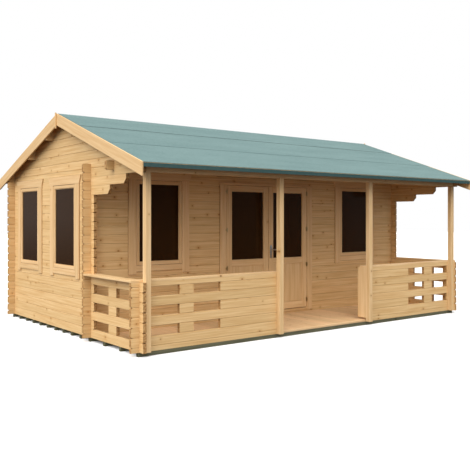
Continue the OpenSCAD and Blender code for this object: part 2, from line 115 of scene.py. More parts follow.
def softwood(name, pale, dark, grain="x", rows=None, knot="#7A4A22", gap=0.17, share=0.67, tint=0.04,
             rough=0.55, ends=None, groove_shade=0.0):
    """Planed or sawn softwood. grain is the axis that its fibres follow, or None where each
    board carries its own "grain" and "board" attributes. rows is the axis across which boards
    or logs are stacked, their height and where the first one starts. groove_shade is half the
    width of the dark line painted where two of them meet, partly their fine gap and partly
    painted shade in the groove between them; ends is the pale and dark tone of a cut end."""
    material, tree, output = blank(name)
    if grain:
        across, pitch, start = rows
        place = put(tree, "TexCoord")
        parts = dict(zip("xyz", put(tree, "SeparateXYZ", {0: place.outputs["Object"]}).outputs))
        third = next(a for a in "xyz" if a not in (grain, across))
        place_in = maths(tree, "DIVIDE", maths(tree, "SUBTRACT", parts[across], start), pitch)
        row = maths(tree, "FLOOR", place_in)
        lot = put(tree, "TexWhiteNoise", {"W": row}, noise_dimensions="1D").outputs["Value"]
        along = maths(tree, "MULTIPLY_ADD", lot, 37.0, parts[grain])
        spot = put(tree, "CombineXYZ", {0: along, 1: parts[across], 2: parts[third]}).outputs[0]
    else:
        spot = put(tree, "Attribute", attribute_name="grain").outputs["Vector"]
        lot = put(tree, "Attribute", attribute_name="board").outputs["Fac"]

    # slow bends of the fibres, then broad figure, fine fibres and flat-sawn arches
    bends = noise(tree, spot, (0.8, 5.0, 5.0), 1.0, "Color")
    lean = put(tree, "VectorMath", {0: bends, 1: (0.02, 0.03, 0.03)}, operation="MULTIPLY").outputs[0]
    bent = put(tree, "VectorMath", {0: spot, 1: lean}, operation="ADD").outputs[0]
    broad = noise(tree, bent, (1.6, 46.0, 46.0))
    fine = noise(tree, bent, (7.0, 330.0, 330.0))
    arches = put(tree, "TexWave", {
        "Vector": stretched(tree, bent, (0.5, 16.0, 16.0)), "Scale": 1.3, "Distortion": 5.0,
        "Detail": 1.0, "Detail Scale": 0.6}, wave_type="BANDS", bands_direction="Y").outputs["Fac"]

    # knots, one in some of the cells of a net, each a dark eye in a paler ring
    cells = put(tree, "TexVoronoi", {"Vector": stretched(tree, bent, (0.8, 1.0, 0.0)), "Scale": 1.0 / gap},
                voronoi_dimensions="2D", feature="F1")
    reach = maths(tree, "MULTIPLY", cells.outputs["Distance"], gap)
    pick = put(tree, "SeparateColor", {0: cells.outputs["Color"]}).outputs
    chosen = maths(tree, "GREATER_THAN", pick[0], share)
    radius = maths(tree, "MULTIPLY_ADD", pick[1], 0.007, 0.006)
    ratio = maths(tree, "DIVIDE", reach, radius)
    eye = maths(tree, "MULTIPLY", ramp(tree, ratio, 1.25, 0.55), chosen)
    halo = maths(tree, "MULTIPLY", ramp(tree, ratio, 4.0, 0.9), chosen)

    figure = maths(tree, "MULTIPLY_ADD", arches, 0.22, maths(tree, "MULTIPLY", fine, 0.28))
    figure = maths(tree, "MULTIPLY_ADD", ramp(tree, broad, 0.3, 0.7), 0.50, figure)
    figure = maths(tree, "MULTIPLY_ADD", halo, 0.30, figure, clamp=True)
    colour = mixed(tree, figure, linear(pale), linear(dark))
    shade = ramp(tree, lot, 0.0, 1.0, 1.0 - tint, 1.0 + tint)
    shades = put(tree, "CombineXYZ", {0: shade, 1: shade, 2: maths(tree, "POWER", shade, 1.3)}).outputs[0]
    colour = mixed(tree, 1.0, colour, shades, "MULTIPLY")
    colour = mixed(tree, maths(tree, "MULTIPLY", eye, 0.75), colour, linear(knot))
    if grain and ends:
        facing = put(tree, "SeparateXYZ", {0: place.outputs["Normal"]}).outputs["xyz".index(grain)]
        cut = maths(tree, "GREATER_THAN", maths(tree, "ABSOLUTE", facing), 0.4)
        speckle = mixed(tree, ramp(tree, broad, 0.35, 0.65), linear(ends[0]), linear(ends[1]))
        colour = mixed(tree, cut, colour, speckle)
    # Painted shade: a dark line along each joint between rows, partly the fine gap there and partly shade
    # painted into the V-groove.
    if grain and groove_shade:
        off = maths(tree, "MULTIPLY", maths(tree, "PINGPONG", place_in, 0.5), pitch)
        colour = mixed(tree, ramp(tree, off, 2.0 * groove_shade, groove_shade, 0.0, 0.35), colour, linear("#5A3517"))
    relief = maths(tree, "ADD", fine, maths(tree, "MULTIPLY", eye, 0.6))
    bump = put(tree, "Bump", {"Height": relief, "Strength": 0.35, "Distance": 0.0006})
    skin = put(tree, "BsdfPrincipled", {
        "Base Color": colour, "Normal": bump.outputs[0], "Specular IOR Level": 0.3,
        "Roughness": maths(tree, "MULTIPLY_ADD", fine, 0.2, rough - 0.1)})
    tree.links.new(skin.outputs[0], output.inputs[0])
    return material


def finish_node(name, material):
    """Gives a node of the frame its finish."""
    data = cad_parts[name].data
    data.materials.clear()
    data.materials.append(material)


treated = softwood("pressure_treated_sawn_softwood", "#716F57", "#4B4A38", grain="x",
                   rows=("y", 0.2, 0.0), knot="#3E3A2A", tint=0.06, rough=0.8, ends=("#66644C", "#4B4A38"))
finish_node("floor_bearers", treated)


# ---------------------------------------------------------------------------
# Log walls
# Machined spruce logs, planed, tongued and stacked, notched into each other at
# the corners. Planing leaves a pale satin face with small tight knots.

log_h = 0.114
log_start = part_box("left_gable_wall")[0].z
LOG_PALE, LOG_DARK, LOG_KNOT, LOG_ENDS = "#E9C996", "#C6985D", "#915A2C", ("#C09763", "#94683B")

log_along_x = softwood("planed_spruce_log_front", LOG_PALE, LOG_DARK, grain="x",
                       rows=("z", log_h, log_start + log_h / 2), knot=LOG_KNOT, ends=LOG_ENDS,
                       groove_shade=0.0013)
log_along_y = softwood("planed_spruce_log_gable", LOG_PALE, LOG_DARK, grain="y",
                       rows=("z", log_h, log_start), knot=LOG_KNOT, ends=LOG_ENDS,
                       groove_shade=0.0013)
for name in ("front_sill_log", "front_wall_left", "front_wall_right", "front_wall_over_door",
             "back_wall", "tie_log", "front_panels"):
    finish_node(name, log_along_x)
for name in ("left_gable_wall", "right_gable_wall", "left_gable_peak", "right_gable_peak",
             "left_side_panel", "right_side_panel"):
    finish_node(name, log_along_y)


# ---------------------------------------------------------------------------
# Room floor
# Tongued pine boards nailed across the bearers, from front to back. Each board
# has its own figure, and the planed arrises leave a thin dark line between them.

board_lot = random.Random(11)


def board(bm, low, high, grain=0, arris=0.0015, segments=1):
    """Adds a board between two corners, its arrises taken off, and writes its grain. Gives its vertices."""
    grain_layers(bm)
    low, high = Vector(low), Vector(high)
    verts = bmesh.ops.create_cube(bm, size=1.0)["verts"]
    bmesh.ops.scale(bm, verts=verts, vec=high - low)
    bmesh.ops.translate(bm, verts=verts, vec=(low + high) / 2)
    edges = list({e for v in verts for e in v.link_edges})
    verts = bmesh.ops.bevel(bm, geom=edges, offset=arris, offset_type="OFFSET", segments=segments,
                            profile=0.5, affect="EDGES", material=-1, clamp_overlap=True)["verts"]
    write_grain(bm, verts, grain)
    return verts


def grain_layers(bm):
    """The two vertex layers that hold the grain, made before the first vertex that uses them."""
    vectors, numbers = bm.verts.layers.float_vector, bm.verts.layers.float
    if "grain" not in vectors:
        vectors.new("grain")
        numbers.new("board")
    return vectors["grain"], numbers["board"]


def write_grain(bm, verts, grain):
    """Writes where each vertex lies along and across the fibres of its own board."""
    vector, number = grain_layers(bm)
    span = [max(v.co[i] for v in verts) - min(v.co[i] for v in verts) for i in range(3)]
    wide, thick = sorted((i for i in range(3) if i != grain), key=lambda i: -span[i])
    shift = Vector((board_lot.uniform(0, 40), board_lot.uniform(0, 5), board_lot.uniform(0, 5)))
    lot = board_lot.random()
    for v in verts:
        v[vector] = Vector((v.co[grain], v.co[wide], v.co[thick])) + shift
        v[number] = lot


def new_piece(name, bm, material, body, nodes=(), smooth=None):
    """Makes the finished piece of a bmesh, on its body and the nodes it stands for."""
    bmesh.ops.recalc_face_normals(bm, faces=bm.faces)
    data = bpy.data.meshes.new(name)
    bm.to_mesh(data)
    bm.free()
    data.materials.append(material)
    piece = bpy.data.objects.new(name, data)
    bpy.context.scene.collection.objects.link(piece)
    if smooth:
        data.shade_smooth()
        data.set_sharp_from_angle(angle=math.radians(smooth))
    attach(piece, body)
    if nodes:
        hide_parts(*nodes)
    return piece


def board_row(bm, low, high, width, run, across, gap=0.0006, arris=0.0015):
    """A row of equal boards that fill a box: run is the axis they follow, across the one they share."""
    count = round((high[across] - low[across]) / width)
    step = (high[across] - low[across]) / count
    for i in range(count):
        a, b = Vector(low), Vector(high)
        a[across] = low[across] + i * step + gap / 2
        b[across] = low[across] + (i + 1) * step - gap / 2
        board(bm, a, b, run, arris)


floor_board = softwood("planed_pine_floor_board", "#E8C79C", "#CFA575", grain=None, knot="#7A4822",
                       tint=0.12, rough=0.5)
bm = bmesh.new()
board_row(bm, *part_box("room_floor"), width=0.096, run=1, across=0)
new_piece("room_floor_boards", bm, floor_board, "cabin", ["room_floor"])


# ---------------------------------------------------------------------------
# Veranda deck
# The same boards, laid with a gap for water to run off. A facing board closes
# their ends along the way in, and the front panels stand before the others.

def solids(name):
    """The lowest and highest corners of each separate solid of a node."""
    bm = bmesh.new()
    bm.from_mesh(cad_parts[name].data)
    bmesh.ops.remove_doubles(bm, verts=bm.verts, dist=1e-5)
    found, seen = [], set()
    for first in bm.verts:
        if first in seen:
            continue
        seen.add(first)
        group, todo = [], [first]
        while todo:
            v = todo.pop()
            group.append(v.co.copy())
            for e in v.link_edges:
                other = e.other_vert(v)
                if other not in seen:
                    seen.add(other)
                    todo.append(other)
        found.append((Vector([min(c[i] for c in group) for i in range(3)]),
                      Vector([max(c[i] for c in group) for i in range(3)])))
    bm.free()
    return sorted(found, key=lambda b: (round(b[0].x, 3), round(b[0].y, 3), round(b[0].z, 3)))


clear = 0.0005  # between pieces that stand side by side
planed_arris = 0.003
deck_low, deck_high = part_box("veranda_deck")
panel_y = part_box("front_panels")[1].y + clear
bm = bmesh.new()
way_half = min(abs(b[1].x) if b[1].x < 0 else abs(b[0].x) for b in solids("panel_end_boards")) - clear
width, half_gap, facing = 0.096, 0.0015, 0.022
count = round((deck_high.x - deck_low.x) / width)
step = (deck_high.x - deck_low.x) / count
for i in range(count):
    x0, x1 = deck_low.x + i * step + half_gap, deck_low.x + (i + 1) * step - half_gap
    inside = x0 > -way_half and x1 < way_half
    y0 = deck_low.y + facing if inside else panel_y
    board(bm, (x0, y0, deck_low.z), (x1, deck_high.y, deck_high.z), 1, planed_arris)
board(bm, (-way_half, deck_low.y, deck_low.z), (way_half, deck_low.y + facing - 0.001, deck_high.z),
      0, planed_arris)
new_piece("veranda_deck_boards", bm, floor_board, "cabin", ["veranda_deck"])


# ---------------------------------------------------------------------------
# Posts, beam, purlins, handrails and end boards
# Planed laminated softwood, square or plain in section. Their arrises are
# rounded by the planer, which gives each edge a fine bright line.

planed = softwood("planed_laminated_softwood", "#EACA9C", "#CDA36C", grain=None, knot="#85552C",
                  gap=0.28, tint=0.07, rough=0.5)


def rounded_copy(node, arris, segments=2):
    """A merged copy of a node with its arrises rounded, as a bmesh. Fibres follow the longest side."""
    bm = bmesh.new()
    bm.from_mesh(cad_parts[node].data)
    grain_layers(bm)
    bmesh.ops.remove_doubles(bm, verts=bm.verts, dist=1e-5)
    bmesh.ops.dissolve_limit(bm, angle_limit=math.radians(1), verts=bm.verts, edges=bm.edges)
    sharp = [e for e in bm.edges if len(e.link_faces) == 2 and e.calc_face_angle() > math.radians(20)]
    bmesh.ops.bevel(bm, geom=sharp, offset=arris, offset_type="OFFSET", segments=segments,
                    profile=0.5, affect="EDGES", material=-1, clamp_overlap=True)
    todo = set(bm.verts)
    while todo:
        group, front = set(), [todo.pop()]
        while front:
            v = front.pop()
            group.add(v)
            for e in v.link_edges:
                other = e.other_vert(v)
                if other in todo:
                    todo.discard(other)
                    front.append(other)
        span = [max(v.co[i] for v in group) - min(v.co[i] for v in group) for i in range(3)]
        write_grain(bm, sorted(group, key=lambda v: v.index), span.index(max(span)))
    return bm


for name in ("veranda_posts", "eaves_beam", "purlins", "panel_end_boards"):
    new_piece(name + "_planed", rounded_copy(name, planed_arris), planed, "cabin", [name])

# Each handrail is a board along the side and one along the front, mitred at the corner. The side
# board goes on past the end of the gable wall as a narrow strip.
stub_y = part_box("left_gable_wall")[0].y - clear
gable_out, gable_in = (c.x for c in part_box("left_gable_wall"))
rail_w, play = 0.122, 0.0004  # play is what stays open where a board meets another, or the wall
for side, flip in (("left", 1), ("right", -1)):
    node = side + "_handrail"
    low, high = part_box("left_handrail")
    bm = bmesh.new()
    ratio = rail_w / (gable_in - low.x)
    along = board(bm, (low.x, low.y, low.z), (gable_in, stub_y, high.z), 1, planed_arris, 2)
    for v in along:
        if v.co.y < low.y + 0.01:
            v.co.y += (v.co.x - low.x) * ratio + play
    board(bm, (low.x, stub_y + play, low.z), (gable_out - clear, high.y, high.z), 1, planed_arris, 2)
    across = board(bm, (low.x, low.y, low.z), (high.x, low.y + rail_w, high.z), 0, planed_arris, 2)
    for v in across:
        if v.co.x < low.x + 0.01:
            v.co.x += (v.co.y - low.y) / ratio + play
    bmesh.ops.scale(bm, verts=bm.verts, vec=(flip, 1, 1))
    new_piece(node + "_boards", bm, planed, "cabin", [node])


# ---------------------------------------------------------------------------
# Windows
# Planed joinery pine. A lining in the wall carries two side boards, a head board
# and a foot board on each face. The outer head's ends are splayed, and the sash
# sits inside the boards. Thin brown strips round each casing and in the gap round
# each sash are painted shadow.

joinery = softwood("planed_joinery_pine", "#E8C798", "#CCA069", grain=None, knot="#8A5A30",
                   gap=0.34, share=0.80, tint=0.05, rough=0.45)
casing_w, casing_t, log_t, foot_up, splay = 0.116, 0.016, 0.044, 0.037, 0.055
joint = 0.0006  # the fine line between two boards of a casing
bead_t = 0.006
sash_bar = min(b[0].z for b in solids("window_glass")) - min(b[0].z for b in solids("left_sashes")) - clear


def placed(bm, kept, place):
    """Moves every vertex but the ones that were there before."""
    bmesh.ops.transform(bm, matrix=place, verts=[v for v in bm.verts if v not in kept])


def casing(bm, half, low, high, foot, out, back):
    """The boards round an opening on one face of the wall, between the planes out and back.
    With a foot the side boards hang down beside a board under the opening."""
    y0, y1 = sorted((out, back))
    outer = half + casing_w
    for s in (-1, 1):
        x0, x1 = sorted((s * half, s * outer))
        board(bm, (x0, y0, low - casing_w if foot else low), (x1, y1, high), 2, 0.002, 2)
    head = board(bm, (-outer, y0, high + joint), (outer, y1, high + casing_w), 0, 0.002, 2)
    if foot:
        board(bm, (-half + joint, y0, low - casing_w + foot_up), (half - joint, y1, low), 0, 0.002, 2)
    return head


def splayed(head, high):
    """Slants the two ends of a head board outwards to its top."""
    for v in head:
        v.co.x += math.copysign(splay, v.co.x) * max(0.0, (v.co.z - high) / casing_w)


def window_frame(bm, half, low, high):
    """Casings on both faces of the wall, and the lining between them."""
    head = casing(bm, half, low, high, True, -casing_t, -play)
    splayed(head, high)
    casing(bm, half, low, high, True, log_t + play, log_t + casing_t)
    lining = 0.056
    for s in (-1, 1):
        x0, x1 = sorted((s * half, s * (half + lining)))
        board(bm, (x0, 0, low - lining), (x1, log_t, high + lining), 2)
    for z0, z1 in ((low - lining, low - joint), (high + joint, high + lining)):
        board(bm, (-half, 0, z0), (half, log_t, z1), 0)


sash_gap = 0.0035  # the gap all round a sash, which a painted shadow strip fills
sash_in, gap_shadow_in = 0.004, 0.003  # how far a sash lies behind its casing, and the painted gap shadow behind the sash


def window_sash(bm, half, low, high, front, back):
    """Two stiles and two rails round a pane, with beads on both faces of it."""
    bar, rebate = sash_bar - sash_gap, 0.010
    for s in (-1, 1):
        x0, x1 = sorted((s * half, s * (half - bar)))
        board(bm, (x0, front, low), (x1, back, high), 2, 0.002, 2)
    for z0, z1 in ((low, low + bar), (high - bar, high)):
        board(bm, (-half + bar, front + play, z0), (half - bar, back - play, z1), 0, 0.002, 2)
    glazing_beads(bm, half - bar, low + bar, high - bar, front + rebate, front + rebate + bead_t)
    glazing_beads(bm, half - bar, low + bar, high - bar, back - rebate - bead_t, back - rebate)


def glazing_beads(bm, half, low, high, y0, y1):
    """Four thin strips that hold a pane in its frame."""
    bead = 0.009
    for s in (-1, 1):
        x0, x1 = sorted((s * half, s * (half - bead)))
        board(bm, (x0, y0, low), (x1, y1, high), 2, 0.0025, 2)
    for z0, z1 in ((low, low + bead), (high - bead, high)):
        board(bm, (-half + bead, y0, z0), (half - bead, y1, z1), 0, 0.0025, 2)


def casing_shadow_lines(bm, half, low, high, foot):
    """A thin brown strip along the outer edges of a casing, on the face of the wall: painted shadow where
    the casing stands off the wall.
    """
    wide, thick = 0.0045, 0.0012
    outer = half + casing_w
    sunk = low - casing_w if foot else low
    for s in (-1, 1):
        x0, x1 = sorted((s * outer, s * (outer + wide)))
        board(bm, (x0, -thick, sunk), (x1, -0.0002, high), 2, 0.0003)
    top, reach = high + casing_w, outer + splay
    board(bm, (-reach, -thick, top), (reach, -0.0002, top + wide), 0, 0.0003)
    if foot:
        under = low - casing_w + foot_up
        board(bm, (-half, -thick, under - wide), (half, -0.0002, under), 0, 0.0003)
        for s in (-1, 1):
            x0, x1 = sorted((s * half, s * outer))
            board(bm, (x0, -thick, sunk - wide), (x1, -0.0002, sunk), 0, 0.0003)


def sash_gap_shadow(bm, half, low, high, front):
    """A brown strip that fills the gap round a sash, a little behind its face: painted shade in the gap."""
    inner, back = half - sash_gap, front + 0.006
    for s in (-1, 1):
        x0, x1 = sorted((s * inner, s * half))
        board(bm, (x0 + 0.0002, front, low), (x1 - 0.0002, back, high), 2, 0.0003)
    for z0, z1 in ((low, low + sash_gap), (high - sash_gap, high)):
        board(bm, (-inner, front, z0 + 0.0002), (inner, back, z1 - 0.0002), 0, 0.0003)


# Painted shadow: the brown strips round casings and in the gap round each sash stand in for the shade at
# their edges.
gap_shadow, tree, output = blank("painted_gap_shadow")
gap_shadow_mottle = noise(tree, object_place(tree), 90.0)
skin = put(tree, "BsdfPrincipled", {
    "Base Color": mixed(tree, gap_shadow_mottle, linear("#5C3218"), linear("#7C4A28")), "Roughness": 0.6,
    "Normal": put(tree, "Bump", {"Height": gap_shadow_mottle, "Strength": 0.3, "Distance": 0.0004}).outputs[0]})
tree.links.new(skin.outputs[0], output.inputs[0])
gap_shadow_bm = bmesh.new()

walls = {"front": (0, 0.0), "left": (1, -math.pi / 2), "right": (1, math.pi / 2)}
wall_face = {"front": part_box("front_sill_log")[0].y, "left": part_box("left_gable_wall")[0].x,
             "right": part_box("right_gable_wall")[1].x}
for side, (axis, turn) in walls.items():
    frames_bm, sashes_bm = bmesh.new(), bmesh.new()
    for low, high in solids(side + "_sashes"):
        half = (high[axis] - low[axis]) / 2
        centre = Vector(((low.x + high.x) / 2, (low.y + high.y) / 2, 0))
        centre[1 - axis] = wall_face[side]
        place = Matrix.Translation(centre) @ Matrix.Rotation(turn, 4, "Z")
        front = -casing_t + sash_in
        kept = set(frames_bm.verts)
        window_frame(frames_bm, half + clear, low.z - clear, high.z + clear)
        placed(frames_bm, kept, place)
        kept = set(gap_shadow_bm.verts)
        casing_shadow_lines(gap_shadow_bm, half, low.z, high.z, True)
        sash_gap_shadow(gap_shadow_bm, half, low.z, high.z, front + gap_shadow_in)
        placed(gap_shadow_bm, kept, place)
        kept = set(sashes_bm.verts)
        window_sash(sashes_bm, half - sash_gap, low.z + sash_gap, high.z - sash_gap, front, front + log_t)
        placed(sashes_bm, kept, place)
    new_piece(side + "_window_casings", frames_bm, joinery, "cabin",
              [side + "_window_frames"])
    new_piece(side + "_window_sashes", sashes_bm, joinery, "cabin", [side + "_sashes"])


# ---------------------------------------------------------------------------
# Glass
# Sealed double glazing. From outside it mirrors the bright surroundings a little,
# with its reflections tinted warm brown, and its dark warm colour is painted shade that
# stands in for the dim timber room behind it.

def pane_glass(name):
    """Slightly wavy glass that lets a little of the room through; its dark warm colour and brown-tinted
    reflections are painted shade for the dim room behind.
    """
    material, tree, output = blank(name)
    ripple = noise(tree, object_place(tree), 1.6)
    waves = put(tree, "Bump", {"Height": ripple, "Strength": 0.02, "Distance": 0.002})
    # Painted shade: the dark brown, nearly opaque base colour stands in for the dim room seen through the
    # pane, and the brown specular tint paints its reflections the same warm tone.
    skin = put(tree, "BsdfPrincipled", {"Base Color": linear("#34200F"), "Roughness": 0.02, "IOR": 1.38,
                                        "Specular Tint": linear("#A07A5C"),
                                        "Alpha": 0.85, "Normal": waves.outputs[0]})
    tree.links.new(skin.outputs[0], output.inputs[0])
    return material


glass = pane_glass("float_glass")
for name in ("window_glass", "door_glass_left", "door_glass_right"):
    finish_node(name, glass)


# ---------------------------------------------------------------------------
# Door frame
# The same pine. Two posts, a head and a sill line the doorway, with casings on
# both faces and a stop behind the leaves.

frame_low, frame_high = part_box("door_frame")
leaf_boxes = [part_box("door_leaf_left"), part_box("door_leaf_right")]
leaf_low, leaf_high = leaf_boxes[0]
leaf_gap, sill_gap = 0.005, 0.009
door_half = -leaf_low.x + leaf_gap
face_y = wall_face["front"]
outer_y, inner_y = face_y - casing_t, face_y + log_t + casing_t
stop_y = leaf_high.y + leaf_gap
sill_top = leaf_low.z - sill_gap
head_z = leaf_high.z + leaf_gap
lining, lining_up, stop_in = 0.0575, 0.035, 0.018
bm = bmesh.new()
for s in (-1, 1):
    x0, x1 = sorted((s * door_half, s * (door_half + casing_w)))
    board(bm, (x0, outer_y, frame_low.z), (x1, face_y - play, head_z), 2, 0.002, 2)
    board(bm, (x0, face_y + log_t + play, frame_low.z), (x1, inner_y, head_z), 2, 0.002, 2)
    x0, x1 = sorted((s * door_half, s * (door_half + lining)))
    board(bm, (x0, face_y, frame_low.z), (x1, face_y + log_t, head_z + lining_up), 2)
    x0, x1 = sorted((s * (door_half - stop_in), s * (door_half - play)))
    board(bm, (x0, stop_y, sill_top), (x1, inner_y, head_z), 2)
outer = door_half + casing_w
top = frame_high.z - head_z
for y0, y1, wide in ((outer_y, face_y - play, splay * 0.5), (face_y + log_t + play, inner_y, 0.0)):
    head = board(bm, (-outer, y0, head_z + joint), (outer, y1, frame_high.z), 0, 0.002, 2)
    for v in head:
        v.co.x += math.copysign(wide, v.co.x) * max(0.0, (v.co.z - head_z) / top)
board(bm, (-door_half, face_y, head_z + joint), (door_half, face_y + log_t, frame_high.z - 0.001), 0)
stop_half = door_half - stop_in
board(bm, (-stop_half, stop_y, head_z - stop_in), (stop_half, inner_y, head_z), 0)
board(bm, (-door_half, outer_y, frame_low.z), (door_half, inner_y, sill_top), 0, 0.002, 2)
# Painted shadow strips along the outer edges of the door casing.
kept = set(gap_shadow_bm.verts)
casing_shadow_lines(gap_shadow_bm, door_half, frame_low.z, head_z, False)
placed(gap_shadow_bm, kept, Matrix.Translation((0, face_y, 0)))
new_piece("casing_and_sash_gap_shadows", gap_shadow_bm, gap_shadow, "cabin")
new_piece("door_frame_boards", bm, joinery, "cabin", ["door_frame"])


# ---------------------------------------------------------------------------
# Door leaves
# Framed and half glazed: stiles and three rails round a pane above and a flat
# panel below, which a planted bead holds on each face.

def door_leaf(low, high, pane, body, side):
    """One leaf between two corners, round its pane, on its own body."""
    stile, rail, foot = pane[0].x - low.x - clear, high.z - pane[1].z - clear, 0.105
    mid = pane[0].z - clear
    panel_top = mid - rail
    bm = bmesh.new()
    for x0, x1 in ((low.x, low.x + stile), (high.x - stile, high.x)):
        board(bm, (x0, low.y, low.z), (x1, high.y, high.z), 2, 0.002, 2)
    x0, x1 = low.x + stile, high.x - stile
    for z0, z1 in ((low.z, low.z + foot), (panel_top, mid), (high.z - rail, high.z)):
        board(bm, (x0, low.y + clear, z0), (x1, high.y - clear, z1), 0, 0.002, 2)
    z0, z1 = low.z + foot, panel_top
    sunk, rim, rim_in, bead_in = 0.012, 0.012, 0.005, 0.009
    board(bm, (x0, low.y + sunk, z0), (x1, high.y - sunk, z1), 2)
    for y0, y1 in ((low.y + rim_in, low.y + sunk), (high.y - sunk, high.y - rim_in)):
        for a, b in ((x0, x0 + rim), (x1 - rim, x1)):
            board(bm, (a, y0, z0), (b, y1, z1), 2, 0.003, 2)
        for a, b in ((z0, z0 + rim), (z1 - rim, z1)):
            board(bm, (x0 + rim, y0, a), (x1 - rim, y1, b), 0, 0.003, 2)
    kept = set(bm.verts)
    for y0 in (low.y + bead_in, high.y - bead_in - bead_t):
        glazing_beads(bm, (x1 - x0) / 2, mid, high.z - rail, y0, y0 + bead_t)
    placed(bm, kept, Matrix.Translation(((x0 + x1) / 2, 0, 0)))
    new_piece("door_leaf_" + side + "_joinery", bm, joinery, body, ["door_leaf_" + side])


for side in ("left", "right"):
    door_leaf(*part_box("door_leaf_" + side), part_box("door_glass_" + side), side + "_door", side)


# ---------------------------------------------------------------------------
# Hinges
# Pressed steel, zinc plated and passivated yellow. Plates and knuckles are of the
# frame. The two screws of each plate on a leaf come with the handle's below.

def plated_steel(name, tone, worn, rough):
    """Steel with a cloudy tone and fine upright lines from rolling or brushing."""
    material, tree, output = blank(name)
    place = object_place(tree)
    bloom = noise(tree, place, 60.0, 3.0)
    lines = noise(tree, place, (900.0, 900.0, 20.0))
    colour = mixed(tree, bloom, linear(tone), linear(worn))
    bump = put(tree, "Bump", {"Height": lines, "Strength": 0.1, "Distance": 0.0002})
    skin = put(tree, "BsdfPrincipled", {"Base Color": colour, "Metallic": 1.0, "Normal": bump.outputs[0],
                                        "Roughness": maths(tree, "MULTIPLY_ADD", bloom, 0.2, rough)})
    tree.links.new(skin.outputs[0], output.inputs[0])
    return material


zinc = plated_steel("yellow_passivated_zinc_plate", "#D3C096", "#B59E70", 0.34)
for name in ("hinge_plates", "hinges_left", "hinges_right"):
    finish_node(name, zinc)


# ---------------------------------------------------------------------------
# Door handle
# Satin stainless lever on a long plate, both sides of the right leaf, with a
# round cylinder under it. The lever is one round bar, bent at its corner.

satin = plated_steel("satin_stainless_steel", "#D5D7D8", "#A9ABAC", 0.22)


def disc(bm, centre, radius, height, turn, sides=20, crown=0.0006):
    """A round head or cylinder with a softened rim, standing on centre along the turned Z axis."""
    kept = set(bm.verts)
    made = bmesh.ops.create_cone(bm, cap_ends=True, segments=sides, radius1=radius, radius2=radius,
                                 depth=height)
    rim = [e for e in {e for v in made["verts"] for e in v.link_edges}
           if all(v.co.z > 0 for v in e.verts)]
    bmesh.ops.bevel(bm, geom=rim, offset=crown, offset_type="OFFSET", segments=2, profile=0.5,
                    affect="EDGES", material=-1, clamp_overlap=True)
    placed(bm, kept, Matrix.Translation(centre) @ turn @ Matrix.Translation((0, 0, height / 2)))


def handle_set(bm, low, high, out):
    """Plate, lever, cylinder and screws on one face of the leaf. out is the way it stands out along Y."""
    lever_r, lever_down, plate_t, plate_w, plate_h = 0.0088, 0.070, 0.008, 0.040, 0.200
    face = high.y if out < 0 else low.y
    centre_x = low.x + plate_w / 2
    lever_z = high.z - lever_down
    front = face + out * plate_t
    outward = Matrix.Rotation(math.pi / 2 * -out, 4, "X")
    kept = set(bm.verts)
    plate = bmesh.ops.create_cube(bm, size=1.0)["verts"]
    bmesh.ops.scale(bm, verts=plate, vec=(plate_w, plate_t - 0.0005, plate_h))
    bmesh.ops.translate(bm, verts=plate, vec=(centre_x, face + out * plate_t / 2, low.z + plate_h / 2))
    corners = [e for e in {e for v in plate for e in v.link_edges}
               if abs(e.verts[0].co.y - e.verts[1].co.y) > plate_t / 2]
    bmesh.ops.bevel(bm, geom=corners, offset=0.012, offset_type="OFFSET", segments=6, profile=0.5,
                    affect="EDGES", material=-1)
    rim = [e for e in {e for v in bm.verts if v not in kept for e in v.link_edges}
           if all(abs(v.co.y - face) > plate_t / 2 for v in e.verts)]
    bmesh.ops.bevel(bm, geom=rim, offset=0.0015, offset_type="OFFSET", segments=2, profile=0.5,
                    affect="EDGES", material=-1)

    neck, elbow, arm = 0.016, 0.015, 0.088
    ring = bmesh.ops.create_circle(bm, cap_ends=True, segments=24, radius=lever_r, matrix=outward)["verts"]
    bmesh.ops.translate(bm, verts=ring, vec=(centre_x, front, lever_z))
    loop = list({e for v in ring for e in v.link_edges})
    for step in (neck, None, arm):
        if step is None:
            pivot = (centre_x + elbow, face + out * (plate_t + neck), lever_z)
            made = bmesh.ops.spin(bm, geom=loop, cent=pivot,
                                  axis=(0, 0, 1), dvec=(0, 0, 0), angle=math.pi / 2 * -out, steps=8,
                                  use_merge=False, use_duplicate=False)["geom_last"]
        else:
            made = bmesh.ops.extrude_edge_only(bm, edges=loop)["geom"]
            way = (0, out * step, 0) if step == neck else (step, 0, 0)
            bmesh.ops.translate(bm, verts=[v for v in made if isinstance(v, bmesh.types.BMVert)], vec=way)
        loop = [e for e in made if isinstance(e, bmesh.types.BMEdge)
                and all(v in made for v in e.verts) and e.is_boundary]
    tip = bmesh.ops.holes_fill(bm, edges=loop, sides=0)["faces"]
    bmesh.ops.bevel(bm, geom=[e for f in tip for e in f.edges], offset=0.003, offset_type="OFFSET",
                    segments=3, profile=0.5, affect="EDGES", material=-1)

    rose_r, cylinder_r, cylinder_down, fixing_r, fixing_in = 0.0145, 0.0088, 0.072, 0.0035, 0.012
    disc(bm, (centre_x, front, lever_z), rose_r, 0.004, outward, 28, 0.001)
    disc(bm, (centre_x, front, lever_z - cylinder_down), cylinder_r, 0.003, outward, 24)
    for z in (low.z + fixing_in, low.z + plate_h - fixing_in):
        disc(bm, (centre_x, front, z), fixing_r, 0.0009, outward, 12, 0.0003)


